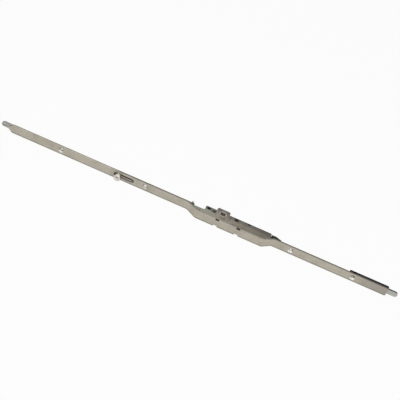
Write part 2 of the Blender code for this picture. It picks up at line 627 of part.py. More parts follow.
def make_case_base(metal):
    """Lower half shell: floor and walls round the gear, the slider and the rods."""
    base = prism("case_base", case_outline(), -CASE_HALF, PARTING, metal, chamfer_low=CASE_CHAMFER)
    join(base, prism("add_pad_base", pad_outline(), -PAD_TOP, -CASE_HALF + CASE_WALL / 2, metal,
                     chamfer_low=FIT), lug_prisms("add_lugs_base", -1.0, metal))

    floor, above = -CAVITY_HALF, PARTING + THROUGH
    chamber_back = SPINDLE_Y + TIP_RADIUS * math.sin(CHAMBER_RISE)
    sweep = math.degrees(math.asin((chamber_back - SPINDLE_Y) / CHAMBER_RADIUS))
    chamber = arc((0.0, SPINDLE_Y), CHAMBER_RADIUS, 180 - sweep, 360 + sweep, ROUND_STEPS)
    cut(base, prism("cut_chamber", chamber, floor, above, metal))
    cut(base, prism("cut_hub_room", circle((0.0, SPINDLE_Y), HUB_BACK_RADIUS + FIT, ROUND_STEPS),
                    floor, above, metal))

    rod_room = ROD_BACK + FIT
    rod_low = ROD_FRONT - FIT
    channel = [(CASE_LEFT - THROUGH, CASE_FRONT - THROUGH), (CHANNEL_RIGHT, CASE_FRONT - THROUGH),
               (CHANNEL_RIGHT, rod_low), (CASE_RIGHT + THROUGH, rod_low), (CASE_RIGHT + THROUGH, rod_room),
               (CHANNEL_RIGHT, rod_room), (CHANNEL_RIGHT, rod_room + RIGHT_LUG_OUT),
               (RIGHT_ROD_END - FIT, rod_room + RIGHT_LUG_OUT), (RIGHT_ROD_END - FIT, CRANK + FIT),
               (-CHAMBER_RADIUS + THROUGH, CRANK + FIT), (-CHAMBER_RADIUS + THROUGH, ROD_FRONT),
               (-BUSH_EDGE, ROD_FRONT), (-BUSH_EDGE - FIT, rod_room), (CASE_LEFT - THROUGH, rod_room)]
    cut(base, prism("cut_channel", channel, floor, above, metal))
    cut(base, case_holes("cut_base_holes", -PAD_TOP - THROUGH, above, metal))
    return base


def make_case_cover(metal):
    """Upper half shell: a cover plate with the hub pad and a window beside the gear."""
    cover = prism("case_cover", case_outline(), CAVITY_HALF, CASE_HALF, metal, chamfer_high=CASE_CHAMFER)
    join(cover, prism("add_pad_cover", pad_outline(), CASE_HALF - CASE_WALL / 2, PAD_TOP, metal,
                      chamfer_high=FIT), lug_prisms("add_lugs_cover", 1.0, metal))
    cut(cover, case_holes("cut_cover_holes", CAVITY_HALF - THROUGH, PAD_TOP + THROUGH, metal))
    window_back = CASE_BACK - RIVET_INSET - 2 * RIVET_RADIUS
    window = box_outline(-BUSH_X + BUSH_RADIUS + WINDOW_WALL, -HUB_BLOCK_HALF - 2 * FIT,
                         window_back - WINDOW_HEIGHT, window_back)
    cut(cover, prism("cut_window", window, CAVITY_HALF - THROUGH, CASE_HALF + THROUGH, metal))
    return cover


def make_case_rivet(number, place, steel):
    """Rivet through both half shells, flush at its ends."""
    end = CASE_HALF - FIT / 3
    tip = RIVET_RADIUS - RIVET_EDGE
    profile = [(tip, -end), (RIVET_RADIUS, RIVET_EDGE - end), (RIVET_RADIUS, end - RIVET_EDGE), (tip, end)]
    return turned(f"case_rivet_{number}", profile, Matrix.Translation((*place, 0.0)), steel)


def make_bush(name, x, steel):
    """Threaded bush for a handle screw, flush with both half shells."""
    end = CASE_HALF - FIT / 3
    bore = BUSH_BORE / 2
    profile = [(bore, -end), (BUSH_RADIUS, -end), (BUSH_RADIUS, end), (bore, end)]
    return sleeve(name, profile, Matrix.Translation((x, SPINDLE_Y, 0.0)), steel, ROUND_STEPS)


def guide_section(height):
    """Bridge section in Y and Z: a roof and two walls over the rod."""
    front = PLATE_BACK + FIT
    back = front + height
    inner = ROD_HALF + FIT
    room = ROD_BACK + FIT
    return [(front, -PLATE_HALF), (back - GUIDE_CORNER, -PLATE_HALF), (back, GUIDE_CORNER - PLATE_HALF),
            (back, PLATE_HALF - GUIDE_CORNER), (back - GUIDE_CORNER, PLATE_HALF), (front, PLATE_HALF),
            (front, inner), (room, inner), (room, -inner), (front, -inner)]


def make_exit_guide(plastic):
    """Black wedge that carries the rod out of the case."""
    left = CASE_RIGHT + 2 * FIT
    right = left + EXIT_GUIDE_LENGTH
    guide = prism("exit_guide", guide_section(EXIT_GUIDE_HEIGHT), left, right, plastic, "X")
    back = PLATE_BACK + FIT + EXIT_GUIDE_HEIGHT
    toe = PLATE_BACK + 3 * FIT
    wedge = [(left + EXIT_GUIDE_LENGTH / 3, back), (right, toe), (right + THROUGH, toe),
             (right + THROUGH, back + THROUGH), (left + EXIT_GUIDE_LENGTH / 3, back + THROUGH)]
    outer = PLATE_HALF + THROUGH
    cut(guide, prism("cut_wedge", wedge, -outer, outer, plastic))
    depth = PLATE_HALF - EXIT_GROOVE
    groove_left = left + EXIT_FLANGE
    grooves = [box_outline(groove_left, groove_left + EXIT_GROOVE, *sorted((side * depth, side * outer)))
               for side in (-1.0, 1.0)]
    cut(guide, prisms("cut_groove", grooves, PLATE_BACK, back + THROUGH, plastic, "Y"))
    return guide


def make_end_guide(plastic):
    """Long black guide behind the right end of the faceplate, with a clip beyond the screw's gap."""
    left = SCREW_PLACES[-1] - END_GUIDE_AHEAD
    right = PLATE_RIGHT
    guide = prism("end_guide", guide_section(END_GUIDE_HEIGHT), left, right, plastic, "X")
    back = PLATE_BACK + FIT + END_GUIDE_HEIGHT
    lead = [(left - THROUGH, back - GUIDE_LEAD), (left, back - GUIDE_LEAD), (left + GUIDE_LEAD, back),
            (left + GUIDE_LEAD, back + THROUGH), (left - THROUGH, back + THROUGH)]
    outer = PLATE_HALF + THROUGH
    cut(guide, prism("cut_lead", lead, -outer, outer, plastic))
    gap_left = left + END_GUIDE_HEAD
    gap = box_outline(gap_left, gap_left + END_GUIDE_GAP, -outer, outer)
    cut(guide, prism("cut_guide_gap", gap, PLATE_BACK, ROD_BACK + FIT, plastic, "Y"))
    holes = [circle((x, 0.0), SCREW_SLOT / 2) for x in SCREW_PLACES if left < x < right]
    if holes:
        cut(guide, prisms("cut_guide_hole", holes, ROD_BACK, back + THROUGH, plastic, "Y"))
    return guide


def make_cam(steel):
    """Eccentric mushroom cam: rivet head behind the rod, neck in the slot, head in front."""
    axis = along_y(CAM_PLACE, CRANK)
    rod_seat = PLATE_THICKNESS + FIT + ROD_THICKNESS
    rear = rod_seat + 2 * FIT + WASHER_THICKNESS
    shank, neck, head = CAM_SHANK / 2, CAM_NECK / 2, CAM_HEAD / 2
    under = CAM_HEAD_THICKNESS - CAM_HEIGHT
    lip = shank + CAM_RIVET_LIP
    profile = [(neck, under), (neck, PLATE_THICKNESS), (shank, PLATE_THICKNESS), (shank, rear), (lip, rear),
               (lip, rear + CAM_RIVET_THICKNESS / 2), (lip - CAM_RIVET_LIP / 2, rear + CAM_RIVET_THICKNESS)]
    bolt = turned("cam_bolt", profile, axis, steel, ROUND_STEPS)
    mushroom = [(head - CAM_RIM, -CAM_HEIGHT), (head, CAM_RIM - CAM_HEIGHT), (head, under),
                (neck + CAM_RIM, -FIT - CAM_RIM), (neck + CAM_RIM / 2, -FIT)]
    head_axis = along_y(CAM_PLACE, CRANK, -CAM_ECCENTRICITY)
    join(bolt, turned("add_cam_head", mushroom, head_axis, steel, ROUND_STEPS))
    corner = CAM_SOCKET / math.sqrt(3.0)
    hexagon = [(CAM_PLACE + x, z) for x, z in circle((0.0, 0.0), corner, 6)]
    cut(bolt, prism("cut_cam_socket", hexagon, CRANK - CAM_HEIGHT - THROUGH,
                    CRANK - CAM_HEIGHT + CAM_SOCKET_DEPTH, steel, "Y"))
    return bolt


def make_cam_washer(steel):
    """Friction washer between the rod and the cam's rivet head."""
    low = FIT / 3
    bore = CAM_SHANK / 2 + FIT
    rim = bore + WASHER_WIDTH
    profile = [(bore, low), (rim, low), (rim, low + WASHER_THICKNESS), (bore, low + WASHER_THICKNESS)]
    return sleeve("cam_washer", profile, along_y(CAM_PLACE, ROD_BACK + 2 * low), steel, ROUND_STEPS)


def main():
    for thing in list(bpy.data.objects):
        bpy.data.objects.remove(thing, do_unlink=True)
    zinc = new_material("zinc_silver", (0.47, 0.42, 0.35), 0.38, 0.85)
    rod_steel = new_material("rod_steel", (0.30, 0.28, 0.24), 0.45, 0.9)
    cast_metal = new_material("die_cast", (0.22, 0.18, 0.15), 0.55, 0.75)
    bright_steel = new_material("bright_steel", (0.62, 0.60, 0.55), 0.3, 1.0)
    black_plastic = new_material("black_plastic", (0.015, 0.013, 0.012), 0.5, 0.0)

    make_faceplate(zinc)
    make_left_rod(rod_steel)
    make_right_rod(rod_steel)
    for number, x in enumerate(STUD_PLACES, 1):
        make_stud(number, x, zinc)
    make_slider(rod_steel)
    make_hub(cast_metal)
    make_case_base(cast_metal)
    make_case_cover(cast_metal)
    for number, place in enumerate(rivet_places(), 1):
        make_case_rivet(number, place, cast_metal)
    make_bush("screw_bush_left", -BUSH_X, cast_metal)
    make_bush("screw_bush_right", BUSH_X, cast_metal)
    make_exit_guide(black_plastic)
    make_end_guide(black_plastic)
    make_cam(bright_steel)
    make_cam_washer(bright_steel)


main()
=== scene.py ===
"""Looks of the window espagnolette gearbox.

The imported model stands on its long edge. Each sub-assembly is a class here: it rounds and dresses the
solids that it owns, and replaces the turned ones by finer surfaces. Lengths are in metres.
"""
from __future__ import annotations

import json
import logging
import math
from dataclasses import dataclass
from enum import Enum
from functools import cached_property

import bmesh
import bpy
import numpy as np
from mathutils import Matrix, Vector


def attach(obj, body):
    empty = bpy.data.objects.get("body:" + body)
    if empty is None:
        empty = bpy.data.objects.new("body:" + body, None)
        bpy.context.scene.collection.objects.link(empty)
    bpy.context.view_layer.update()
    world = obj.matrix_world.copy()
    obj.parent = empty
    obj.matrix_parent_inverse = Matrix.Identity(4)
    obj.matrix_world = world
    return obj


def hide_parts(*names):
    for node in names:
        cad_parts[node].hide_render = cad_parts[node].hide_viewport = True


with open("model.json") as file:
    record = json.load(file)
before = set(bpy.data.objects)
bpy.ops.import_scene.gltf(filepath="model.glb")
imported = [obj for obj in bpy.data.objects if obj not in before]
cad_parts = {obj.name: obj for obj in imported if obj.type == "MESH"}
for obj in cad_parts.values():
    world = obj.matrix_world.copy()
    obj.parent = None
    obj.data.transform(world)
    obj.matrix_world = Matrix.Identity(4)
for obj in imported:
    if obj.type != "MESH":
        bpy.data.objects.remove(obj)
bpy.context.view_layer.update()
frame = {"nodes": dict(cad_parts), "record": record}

Colour = tuple[float, float, float]             # linear red, green and blue
Point = tuple[float, float, float]              # x, y and z
Span = tuple[float, float]                      # where a change begins and where it ends

LOG = logging.getLogger("gearbox")
MM = 0.001
TAU = math.tau
WHITE = (1.0, 1.0, 1.0, 1.0)

# Sizes that the pieces share with the solids
CRANK = 10.7 * MM                   # the straight runs' outer face
PLATE_THICKNESS = 2.5 * MM
PLATE_HALF = 7.0 * MM
SPINDLE_Y = 17.209 * MM
CASE_HALF = 6.0 * MM
CASE_LEFT = -26.9 * MM
FLOOR_Z = -PLATE_HALF - 0.05 * MM   # just clear of the long edge

# Limits for copies of the solids, angles in degrees
CREASE = 50.0                       # angle between faces from which an edge is rounded
SMOOTH = 32.0                       # angle up to which shading runs on over an edge
FLAT = 1.0                          # angle up to which faces are merged into one
MERGE = 0.004 * MM                  # distance up to which corners are merged into one
TIGHT = 2.2                         # roundings that a sharp edge has to hold to be rounded
FINE = 0.12 * MM                    # easing of the corners of small turned and pressed pieces

RIGHT_OF_SLOT = (-132.0 * MM, -126.0 * MM)      # where tones change at the cam slot's right end


class Slot(Enum):
    """Material slots of the record."""

    ZINC = "zinc_silver"
    ROD = "rod_steel"
    CAST = "die_cast"
    BRIGHT = "bright_steel"
    PLASTIC = "black_plastic"


class Look(Enum):
    """Finishes of the pieces."""

    STRIP = "zinc_silver_satin"
    STUD = "zinc_silver_stud"
    ROD = "rod_steel_dull"
    SLIDER = "rod_steel_slider"
    SHELL = "die_cast_matt"
    RUBBED = "die_cast_rubbed"
    HUB = "die_cast_hub"
    BORE = "die_cast_bore"
    TURNED = "bright_steel_turned"
    NYLON = "black_nylon_grained"
    NYLON_DUSTY = "black_nylon_dusty"
    NYLON_EDGE = "black_nylon_edge"


class Axis(Enum):
    """World direction that a turned piece's own axis takes."""

    SPINDLE = "Z"
    INTO_SASH = "Y"


# Surfaces

def grid_faces(rows: int, columns: int, wrap_rows: bool) -> np.ndarray:
    """Quads that join the points of a grid whose columns run round.

    Quad (i, j) has the corners (i, j), (i, j+1), (i+1, j+1) and (i+1, j), and a wrapped direction
    counts its last line as the neighbour of its first.

    Args:
        rows: number of grid rows.
        columns: number of grid columns.
        wrap_rows: whether the last row joins the first.

    Returns:
        An array of vertex numbers, four to a face.
    """
    i, j = np.meshgrid(np.arange(rows if wrap_rows else rows - 1), np.arange(columns), indexing="ij")
    k, m = (i + 1) % rows, (j + 1) % columns
    corners = [i * columns + j, i * columns + m, k * columns + m, k * columns + j]
    return np.stack(corners, -1).reshape(-1, 4)


def added(name: str, data: bpy.types.ID) -> bpy.types.Object:
    """Add an object to the scene, at the origin.

    Args:
        name: name of the new object.
        data: its mesh, lamp or camera.

    Returns:
        The new object.
    """
    made = bpy.data.objects.new(name, data)
    bpy.context.scene.collection.objects.link(made)
    return made


def surface(name: str, grid: np.ndarray, wrap_rows: bool = False, inner_rows: int = 0) -> bpy.types.Object:
    """Closed surface through a grid of points whose columns run round it.

    Where the rows don't wrap, each end is closed by a fan about the mean of its last row.

    Args:
        name: name of the new object.
        grid: points as an array of rows, columns and three coordinates.
        wrap_rows: whether the last row joins the first, as on a ring.
        inner_rows: number of first rows whose faces take the second material.

    Returns:
        The new object, with its faces pointing outwards.
    """
    rows, columns = grid.shape[:2]
    points = grid.reshape(-1, 3)
    faces = grid_faces(rows, columns, wrap_rows).tolist()
    if not wrap_rows:
        first = np.arange(columns)
        second = np.roll(first, -1)
        last = (rows - 1) * columns
        low, high = len(points), len(points) + 1
        points = np.vstack([points, grid[0].mean(0), grid[-1].mean(0)])
        faces += np.stack([np.full(columns, low), second, first], -1).tolist()
        faces += np.stack([np.full(columns, high), last + first, last + second], -1).tolist()
    mesh = bpy.data.meshes.new(name)
    mesh.from_pydata(points.tolist(), [], faces)
    inner = np.arange(len(faces)) < (inner_rows - 1) * columns
    mesh.polygons.foreach_set("material_index", inner.astype(np.int32))
    outward(mesh)
    smooth(mesh)
    return added(name, mesh)


def outward(mesh: bpy.types.Mesh) -> None:
    """Turn the faces of a closed mesh outwards.

    Args:
        mesh: the mesh, changed in place.
    """
    shell = bmesh.new()
    shell.from_mesh(mesh)
    bmesh.ops.recalc_face_normals(shell, faces=shell.faces)
    shell.to_mesh(mesh)
    shell.free()


def smooth(mesh: bpy.types.Mesh) -> None:
    """Shade a mesh smooth except across its sharper edges."""
    mesh.shade_smooth()
    mesh.set_sharp_from_angle(angle=math.radians(SMOOTH))


def placed(points: np.ndarray, axis: Axis, origin: Point) -> np.ndarray:
    """Points of a piece turned about its own Z, moved to its place.

    Args:
        points: an array whose last direction holds x, y and z.
        axis: where the piece's own Z points.
        origin: where the piece's own origin goes.

    Returns:
        The points in the shared frame.
    """
    if axis is Axis.INTO_SASH:
        points = np.stack([points[..., 0], points[..., 2], -points[..., 1]], -1)
    return points + np.array(origin)


def eased(outline: np.ndarray, reach: float, closed: bool = False) -> np.ndarray:
    """Outline with every corner replaced by a parabola tangent to both of its sides, in three segments.

    With S and E the points at the reach before and after corner P, the curve is
    (1-s)^2 S + 2 s (1-s) P + s^2 E for s from 0 to 1. The reach is at most 45% of a side.

    Args:
        outline: corners as an array of points.
        reach: distance from a corner at which its curve starts.
        closed: whether the outline's ends meet.

    Returns:
        The rounded outline. An open one keeps its two end points.
    """
    before, after = np.roll(outline, 1, 0) - outline, np.roll(outline, -1, 0) - outline
    sides = [np.linalg.norm(side, axis=1, keepdims=True) for side in (before, after)]
    reach = np.minimum(reach, 0.45 * np.minimum(*sides))
    start, end = outline + before / sides[0] * reach, outline + after / sides[1] * reach
    s = np.linspace(0.0, 1.0, 4)[None, :, None]
    curves = (1 - s) ** 2 * start[:, None] + 2 * s * (1 - s) * outline[:, None] + s ** 2 * end[:, None]
    if closed:
        return curves.reshape(-1, outline.shape[1])
    return np.vstack([outline[:1], curves[1:-1].reshape(-1, outline.shape[1]), outline[-1:]])


def full_turn(columns: int) -> np.ndarray:
    """Angles of a ring's points."""
    return np.linspace(0.0, TAU, columns, endpoint=False)


def round_axis(radius: np.ndarray, angle: np.ndarray, height: np.ndarray,
               lean: np.ndarray | float = 0.0) -> np.ndarray:
    """Grid of the points (r cos t, r sin t + lean, h).

    Args:
        radius: radii r, one for each point or each row.
        angle: angles t, one for each column.
        height: heights h, one for each row.
        lean: offset of each row's centre along the piece's own Y.

    Returns:
        A grid of points.
    """
    return np.stack([radius * np.cos(angle), radius * np.sin(angle) + lean, height * np.ones_like(angle)], -1)


def turned(profile: np.ndarray, columns: int) -> np.ndarray:
    """Surface of revolution through a profile's radii and heights, with so many points round its axis."""
    return round_axis(profile[:, :1], full_turn(columns), profile[:, 1:])


def dome(radius: float, foot: float, rise: float, flank: float, steps: int) -> np.ndarray:
    """Profile of a fastener's domed head up to just before its pole.

    At angle t from 0 to a right angle, the radius is R cos t and the height is
    foot + rise (flank + (1 - flank) sin t).

    Args:
        radius: R, the radius at the dome's edge.
        foot: height of the seat.
        rise: height of the whole head above its seat.
        flank: share of that height that stands straight below the dome.
        steps: number of rows.

    Returns:
        Radii and heights, one row each.
    """
    t = np.linspace(0.0, math.pi / 2, steps + 1)[:-1]
    return np.stack([radius * np.cos(t), foot + rise * (flank + (1.0 - flank) * np.sin(t))], -1)


def polygon_radius(angle: np.ndarray, sides: int, flats: float) -> np.ndarray:
    """Radius of a regular polygon: half its size across flats over the cosine of the angle from a flat."""
    sector = TAU / sides
    return flats / 2 / np.cos(np.mod(angle, sector) - sector / 2)


# Finishes

class Value:
    """Output socket of a node. Python's operators on it add Math nodes."""

    def __init__(self, graph: Graph, socket: bpy.types.NodeSocket) -> None:
        """Wrap the socket of a graph's node."""
        self.graph = graph
        self.socket = socket

    def math(self, operation: str, *terms: Value | float) -> Value:
        """Math node with the terms in order."""
        return self.graph.node("ShaderNodeMath", {"operation": operation}, dict(enumerate(terms)))

    def __add__(self, other: Value | float) -> Value:
        """Sum."""
        return self.math("ADD", self, other)

    def __radd__(self, other: float) -> Value:
        """Sum with a number in front."""
        return self.math("ADD", other, self)

    def __sub__(self, other: Value | float) -> Value:
        """Difference."""
        return self.math("SUBTRACT", self, other)

    def __rsub__(self, other: float) -> Value:
        """Difference from a number."""
        return self.math("SUBTRACT", other, self)

    def __mul__(self, other: Value | float) -> Value:
        """Product."""
        return self.math("MULTIPLY", self, other)

    def __rmul__(self, other: float) -> Value:
        """Product with a number in front."""
        return self.math("MULTIPLY", other, self)

    def size(self) -> Value:
        """Value without its sign."""
        return self.math("ABSOLUTE", self)

    def root(self) -> Value:
        """Square root."""
        return self.math("SQRT", self)

    def largest(self, other: Value) -> Value:
        """Larger one of two values."""
        return self.math("MAXIMUM", self, other)

    def part(self, name: str) -> Value:
        """One coordinate of a vector, by its letter."""
        return self.graph.node("ShaderNodeSeparateXYZ", {}, {"Vector": self}, output=name)

    def between(self, low: float, high: float) -> Value:
        """Smooth rise from 0 at the low value to 1 at the high one."""
        return self.graph.node("ShaderNodeMapRange", {"interpolation_type": "SMOOTHSTEP"},
                               {"Value": self, "From Min": low, "From Max": high})

    def within(self, rise: Span, fall: Span) -> Value:
        """Smooth rise from 0 to 1 over the first span and fall back to 0 over the second."""
        return self.between(*rise) * (1.0 - self.between(*fall))


class Graph:
    """Node tree of one finish, or of the surroundings."""

    def __init__(self, owner: bpy.types.Material | bpy.types.World, shader: str = "Principled BSDF") -> None:
        """Start from the shader that a new owner comes with.

        Args:
            owner: the material or world.
            shader: name of its shader's node.
        """
        owner.use_nodes = True
        self.owner = owner
        self.tree = owner.node_tree
        self.shader = self.tree.nodes[shader]

    @cached_property
    def place(self) -> Value:
        """Object coordinates, one node for the whole tree."""
        return self.node("ShaderNodeTexCoord", output="Object")

    def node(self, kind: str, settings: dict | None = None, inputs: dict | None = None,
             output: str | int = 0) -> Value:
        """Add a node.

        Args:
            kind: the node's type.
            settings: properties to set first.
            inputs: values or links of its sockets, by name or number.
            output: the output socket to return, by name or number.

        Returns:
            The output as a value.
        """
        made = self.tree.nodes.new(kind)
        for key, setting in (settings or {}).items():
            setattr(made, key, setting)
        for key, source in (inputs or {}).items():
            self.feed(made.inputs[key], source)
        return Value(self, made.outputs[output])

    def feed(self, socket: bpy.types.NodeSocket, source: Value | float | tuple) -> None:
        """Link a value to a socket, or set a plain number or colour on it.

        Args:
            socket: the input socket.
            source: what it takes.
        """
        if isinstance(source, Value):
            self.tree.links.new(source.socket, socket)
        else:
            socket.default_value = source

    def stretched(self, scale: Point) -> Value:
        """Object coordinates scaled along each axis."""
        return self.node("ShaderNodeMapping", {}, {"Vector": self.place, "Scale": scale})

    def noise(self, place: Value, scale: float, detail: float, roughness: float) -> Value:
        """Noise from 0 to 1 at a place, with so many features to a metre."""
        return self.node("ShaderNodeTexNoise", {}, {"Vector": place, "Scale": scale, "Detail": detail,
                                                     "Roughness": roughness})

    def blend(self, factor: Value, first: Value | Colour, second: Value | Colour) -> Value:
        """Colour between two colours. The node's sockets 6 and 7 and its output 2 are for colours."""
        first, second = [c if isinstance(c, Value) else (*c, 1.0) for c in (first, second)]
        return self.node("ShaderNodeMix", {"data_type": "RGBA"}, {0: factor, 6: first, 7: second}, output=2)

    def normal(self) -> Value:
        """Direction of the surface in the piece's own frame."""
        return self.node("ShaderNodeTexCoord", output="Normal")

    def relief(self, height: Value, depth: float) -> Value:
        """Bump normal from a height of 0 to 1, so deep in metres."""
        return self.node("ShaderNodeBump", {}, {"Height": height, "Distance": depth, "Strength": 1.0})

    def seen(self) -> Value:
        """Tell rays from the camera, reflections and glass from those that only carry light.

        Returns:
            1 for the first kinds and 0 for the last.
        """
        camera, glossy, glass = [self.node("ShaderNodeLightPath", output=f"Is {kind} Ray")
                                 for kind in ("Camera", "Glossy", "Transmission")]
        return camera.largest(glossy).largest(glass)

    def finish(self, **inputs: Value | float | tuple) -> bpy.types.Material | bpy.types.World:
        """Feed the shader.

        Args:
            **inputs: sources by the names of its sockets, in lower case with underscores for spaces.

        Returns:
            The finished material or world.
        """
        sockets = {socket.name.lower().replace(" ", "_"): socket for socket in self.shader.inputs}
        for key, source in inputs.items():
            self.feed(sockets[key], source)
        return self.owner


@dataclass(frozen=True)
class PlatedSteel:
    """Plated strip: brushing along the bar, soft stains, a painted dark reflection on the cut faces and
    painted shade along the lower edge.

    A share is how strongly something shows, and a span is where a tone changes, along the bar, over its
    height, or over a direction of the surface.
    """

    colour: Colour
    stain: Colour
    # colour of the painted dark reflection on the cut faces
    cut_reflection: Colour
    roughness: float
    metallic: float = 0.75
    brush_scale: Point = (18.0, 900.0, 900.0)
    scuff_scale: Point = (90.0, 340.0, 340.0)
    tear_scale: Point = (1500.0, 160.0, 1500.0)
    stain_scale: float = 55.0
    stain_share: float = 0.8
    brush_share: float = 0.30
    brush_gain: float = 1.3
    shear_share: float = 0.92
    tear_share: float = 0.3
    cut_metal: float = -0.25
    relief: float = 0.00002
    left_end: Span = (-168.0 * MM, -158.0 * MM)
    left_share: float = 1.0
    case_left: Span = (-48.0 * MM, -40.0 * MM)
    case_right: Span = (70.0 * MM, 80.0 * MM)
    case_share: float = 1.0
    margin_top: Span = (0.5 * MM - PLATE_HALF, 2.7 * MM - PLATE_HALF)
    # colour of the painted shade along the lower edge
    margin_shade: Colour = (0.14, 0.143, 0.115)
    margin_share: float = 0.8
    tail: Span = (205.0 * MM, 243.0 * MM)
    tail_tone: Colour = (0.29, 0.262, 0.23)
    tail_share: float = 0.6
    opening: Span = (3.9 * MM, 4.1 * MM)
    highlight_run: Span = (-100.0 * MM, 50.0 * MM)
    highlight_left: Colour = (0.62, 0.59, 0.55)
    highlight_right: Colour = (0.88, 0.87, 0.84)
    shadow: Colour = (0.09, 0.08, 0.07)
    lit_sill: Colour = (0.38, 0.35, 0.33)

    def material(self, name: str) -> bpy.types.Material:
        """Build the finish.

        Args:
            name: name of the material.

        Returns:
            A material whose colour, roughness and relief follow the brushing, the stains and the edges.
        """
        g = Graph(bpy.data.materials.new(name))
        brushing = g.noise(g.stretched(self.brush_scale), 1.0, 3.0, 0.6)
        stains = g.noise(g.place, self.stain_scale, 5.0, 0.62).between(0.38, 0.72)
        scuffs = g.noise(g.stretched(self.scuff_scale), 1.0, 4.0, 0.7).between(0.58, 0.74)
        tears = g.noise(g.stretched(self.tear_scale), 1.0, 3.0, 0.6)
        mottled = g.blend(stains * self.stain_share, self.colour, self.stain)
        pale = tuple(min(1.0, c * self.brush_gain + 0.02) for c in self.colour)
        streaked = g.blend(brushing.between(0.3, 0.75) * self.brush_share, mottled, pale)
        cut = self.cut_edges(g)
        face = self.shaded(g, streaked)
        # Painted dark reflection on the cut faces, mottled by tear marks
        torn = g.blend(tears.between(0.4, 0.7) * self.tear_share, self.cut_reflection, self.stain)
        dressed = self.sunk(g, g.blend(cut * self.shear_share, face, torn), cut)
        rough = self.roughness + stains * 0.10 + scuffs * 0.08 - brushing * 0.06 + cut * 0.12
        return g.finish(base_color=dressed, roughness=rough, metallic=self.metallic + cut * self.cut_metal,
                        normal=g.relief(brushing + scuffs * 0.4 + tears * cut * 1.5, self.relief))

    def cut_edges(self, g: Graph) -> Value:
        """Tell cut edges, chamfers and hole walls from the front and the back.

        It is the larger of a smooth rise of the size of the normal's z from 0.4 to 0.8, and 1 minus
        one of the normal's y from 0.2 to 0.5. These faces take a painted dark reflection. It keeps only a
        share at the bar's left end and another one in front of the case, where the painted dark reflection is
        weaker.

        Args:
            g: the finish's node tree.

        Returns:
            1 on the cut edges and 0 elsewhere.
        """
        normal = g.normal()
        flank = normal.part("Z").size().between(0.4, 0.8)
        cut = flank.largest(1.0 - normal.part("Y").size().between(0.2, 0.5))
        x = g.place.part("X")
        kept = self.left_share + x.between(*self.left_end) * (1.0 - self.left_share)
        return cut * kept * (1.0 - x.within(self.case_left, self.case_right) * (1.0 - self.case_share))

    def shaded(self, g: Graph, colour: Value) -> Value:
        """Darken the right end and paint shade along the lower edge.

        Args:
            g: the finish's node tree.
            colour: colour of the plating.

        Returns:
            The changed colour.
        """
        low = 1.0 - g.place.part("Z").between(*self.margin_top)
        # Darker towards the right end
        darker_tail = g.blend(g.place.part("X").between(*self.tail) * self.tail_share, colour, self.tail_tone)
        # Painted shade along the lower edge of the bar
        return g.blend(low * self.margin_share, darker_tail, self.margin_shade)

    def sunk(self, g: Graph, colour: Value, cut: Value) -> Value:
        """Paint a highlight on the countersinks' lower halves and a shadow on their upper halves, and paint
        light on the cam slot's lower wall.

        Args:
            g: the finish's node tree.
            colour: colour of the faces and their edges.
            cut: 1 on the cut edges.

        Returns:
            The changed colour.
        """
        normal = g.normal()
        slope, across = normal.part("Z"), normal.part("Y").size()
        near = 1.0 - g.place.part("Z").size().between(*self.opening)
        cone = across.within((0.5, 0.6), (0.8, 0.9)) * near
        # Painted highlight on the countersinks' lower halves, brighter to the right
        highlight = g.blend(g.place.part("X").between(*self.highlight_run), self.highlight_left, self.highlight_right)
        lit = g.blend(cone * slope.between(0.1, 0.4), colour, highlight)
        # Painted shadow on the countersinks' upper halves
        dull = g.blend(cone * (0.0 - slope).between(0.1, 0.4) * 0.8, lit, self.shadow)
        # Painted light on upward-facing cut faces near the middle, such as the cam slot's lower wall
        return g.blend(cut * near * slope.between(0.5, 0.8) * 0.8, dull, self.lit_sill)


@dataclass(frozen=True)
class ShadowedSteel(PlatedSteel):
    """Plated steel of the moving pieces, with the faceplate's shadow painted on their fronts where it covers
    them.
    """

    covered: Span = (-330.0 * MM, 257.5 * MM)
    fade: float = 3.0 * MM
    slotted: bool = True
    sill_half: Span = (3.2 * MM, 3.4 * MM)
    lit_sill: Colour = (0.85, 0.84, 0.81)
    # colour of the faceplate's painted shadow
    grease: Colour = (0.020, 0.016, 0.014)
    cast_shadow_share: float = 0.95
    cast_shadow_low: Span = (-1.6 * MM, -0.6 * MM)
    cast_shadow_rise: float = 1.5 * MM
    lit_left: Colour = (0.56, 0.51, 0.48)
    lit_right: Colour = (0.74, 0.73, 0.70)
    end_share: float = 0.5

    def shaded(self, g: Graph, colour: Value) -> Value:
        """Paint the faceplate's shadow on the covered front, dark high on the piece, with painted light low
        on it.

        Right of the cam slot the painted shadow reaches less far down. A slotted rod's left end is darker.

        Args:
            g: the finish's node tree.
            colour: colour of the plating.

        Returns:
            The changed colour.
        """
        x, (left, right) = g.place.part("X"), self.covered
        ahead = (0.0 - g.normal().part("Y")).between(0.5, 0.9)
        inside = x.within((left, left + self.fade), (right, right + self.fade))
        beyond = x.between(*RIGHT_OF_SLOT)
        lit_low = g.blend(beyond, self.lit_left, self.lit_right)
        high = (g.place.part("Z") - beyond * self.cast_shadow_rise).between(*self.cast_shadow_low)
        if self.slotted:
            outside = 1.0 - x.between(left - 2.0 * self.fade, left)
            colour = g.blend(outside * self.end_share, colour, self.stain)
        # Painted shadow of the faceplate on the covered front, with painted light below it
        return g.blend(ahead * inside * self.cast_shadow_share, colour, g.blend(high, lit_low, self.grease))

    def sunk(self, g: Graph, colour: Value, cut: Value) -> Value:
        """Paint light on the upward-facing sills of the slots through which the screws pass a rod.

        Args:
            g: the finish's node tree.
            colour: colour of the faces and their edges.
            cut: 1 on the cut edges, not needed here.

        Returns:
            The changed colour.
        """
        if not self.slotted:
            return colour
        inner = 1.0 - g.place.part("Z").size().between(*self.sill_half)
        upward = g.normal().part("Z").between(0.6, 0.9)
        # Painted light on the slots' upward-facing sills
        return g.blend(upward * inner * g.place.part("X").between(*RIGHT_OF_SLOT) * 0.9, colour, self.lit_sill)


